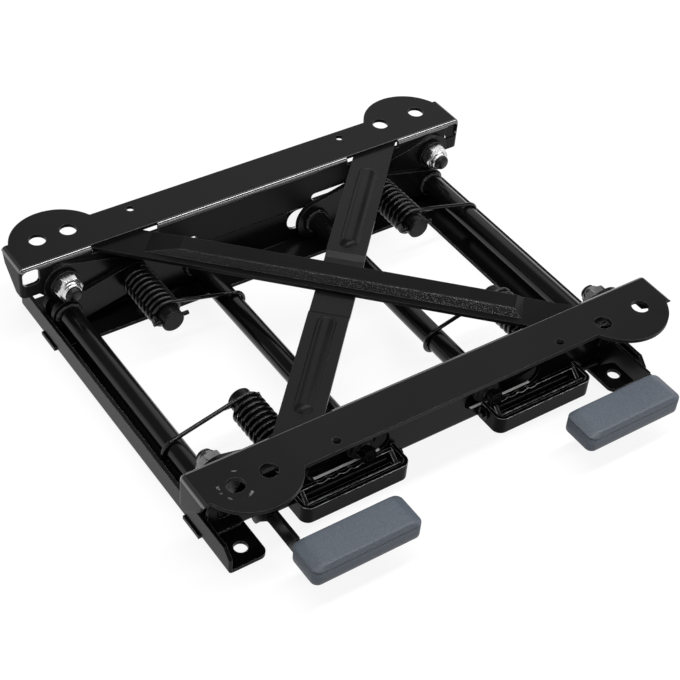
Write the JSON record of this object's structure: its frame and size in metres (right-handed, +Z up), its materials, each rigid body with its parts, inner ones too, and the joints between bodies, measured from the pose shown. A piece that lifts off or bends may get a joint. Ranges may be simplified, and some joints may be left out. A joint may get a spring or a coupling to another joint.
{
  "type": "seat height adjuster",
  "caption": "Low sprung lift and tilt frame that fits under a vehicle seat, with two half-scissor linkages and front release handles.",
  "frame": {"origin": "centre of the four foot holes, on the floor under the base", "axes": "+Z up, +X along the top rails to the right, -Y towards the release handles"},
  "size_m": [0.4, 0.3725, 0.073],
  "materials": {
    "black_powder_coat": "semi-gloss black powder coat on pressed steel",
    "black_steel": "blackened steel, satin",
    "bright_zinc": "bright zinc plating",
    "spring_wire": "oiled black spring wire",
    "bush_plastic": "black nylon",
    "grip_plastic": "blue-grey moulded plastic, fine grain"
  },
  "bodies": {
    "base": {"side_member_far": "black_powder_coat", "side_member_near": "black_powder_coat", "pivot_spacers": "black_powder_coat", "cross_channel_left": "black_powder_coat", "cross_channel_right": "black_powder_coat", "lock_box_left": "black_powder_coat", "lock_box_right": "black_powder_coat", "rod_spring_left": "spring_wire", "rod_spring_right": "spring_wire"},
    "top_frame": {"top_rail_far": "black_powder_coat", "top_rail_near": "black_powder_coat", "brace_upper": "black_powder_coat", "brace_lower": "black_powder_coat", "pivot_bolts": "black_steel", "pivot_nuts": "bright_zinc", "pivot_washers": "black_steel"},
    "link_left": {"tube_outer_left": "black_powder_coat", "link_plate_far_left": "black_powder_coat", "link_plate_near_left": "black_powder_coat", "pivot_pins_left": "black_steel", "spindle_far_left": "black_steel", "cross_pin_far_left": "black_steel", "torsion_spring_near_left": "spring_wire"},
    "arm_left": {"tube_inner_left": "black_powder_coat", "arm_plate_far_left": "black_powder_coat", "arm_plate_near_left": "black_powder_coat", "slide_pins_left": "black_steel", "slide_bushes_left": "bush_plastic", "lock_head_left": "black_powder_coat", "spindle_near_left": "black_steel", "cross_pin_near_left": "black_steel", "torsion_spring_far_left": "spring_wire"},
    "lever_left": {"lock_rod_left": "black_steel", "rod_ring_left": "black_steel", "lock_plate_left": "black_powder_coat", "release_lever_left": "black_powder_coat", "handle_left": "grip_plastic"},
    "link_right": {"tube_outer_right": "black_powder_coat", "link_plate_far_right": "black_powder_coat", "link_plate_near_right": "black_powder_coat", "pivot_pins_right": "black_steel", "spindle_near_right": "black_steel", "cross_pin_near_right": "black_steel", "torsion_spring_far_right": "spring_wire"},
    "arm_right": {"tube_inner_right": "black_powder_coat", "arm_plate_far_right": "black_powder_coat", "arm_plate_near_right": "black_powder_coat", "slide_pins_right": "black_steel", "slide_bushes_right": "bush_plastic", "lock_head_right": "black_powder_coat", "spindle_far_right": "black_steel", "cross_pin_far_right": "black_steel", "torsion_spring_near_right": "spring_wire"},
    "lever_right": {"lock_rod_right": "black_steel", "rod_ring_right": "black_steel", "lock_plate_right": "black_powder_coat", "release_lever_right": "black_powder_coat", "handle_right": "grip_plastic"}
  },
  "joints": [
    {"name": "lift", "type": "hinge", "parent": "base", "child": "link_left", "pos_m": [-0.168, 0, 0.022], "axis": [0, -1, 0], "range_deg": [0, 35.5]},
    {"name": "left_centre_pivot", "type": "hinge", "parent": "link_left", "child": "arm_left", "pos_m": [-0.112, 0, 0.036], "axis": [0, -1, 0], "range_deg": [-71.5, 0]},
    {"name": "left_top_pivot", "type": "hinge", "parent": "arm_left", "child": "top_frame", "pos_m": [-0.168, 0, 0.05], "axis": [0, -1, 0], "range_deg": [0, 36]},
    {"name": "right_lift", "type": "hinge", "parent": "base", "child": "link_right", "pos_m": [0.168, 0, 0.022], "axis": [0, -1, 0], "range_deg": [-36, 0]},
    {"name": "right_centre_pivot", "type": "hinge", "parent": "link_right", "child": "arm_right", "pos_m": [0.112, 0, 0.036], "axis": [0, -1, 0], "range_deg": [0, 71.5]},
    {"name": "left_lever", "type": "hinge", "parent": "base", "child": "lever_left", "pos_m": [-0.0735, -0.125, 0.008], "axis": [-1, 0, 0], "range_deg": [0, 17], "stiffness_Nm_per_rad": 0.12, "springref_deg": -17.19},
    {"name": "right_lever", "type": "hinge", "parent": "base", "child": "lever_right", "pos_m": [0.0945, -0.125, 0.008], "axis": [-1, 0, 0], "range_deg": [0, 17], "stiffness_Nm_per_rad": 0.12, "springref_deg": -17.19}
  ],
  "couplings": [
    {"joint": "left_centre_pivot", "follows": "lift", "ratio": -2},
    {"joint": "left_top_pivot", "follows": "lift", "ratio": 1},
    {"joint": "right_lift", "follows": "lift", "ratio": -1},
    {"joint": "right_centre_pivot", "follows": "lift", "ratio": 2}
  ]
}
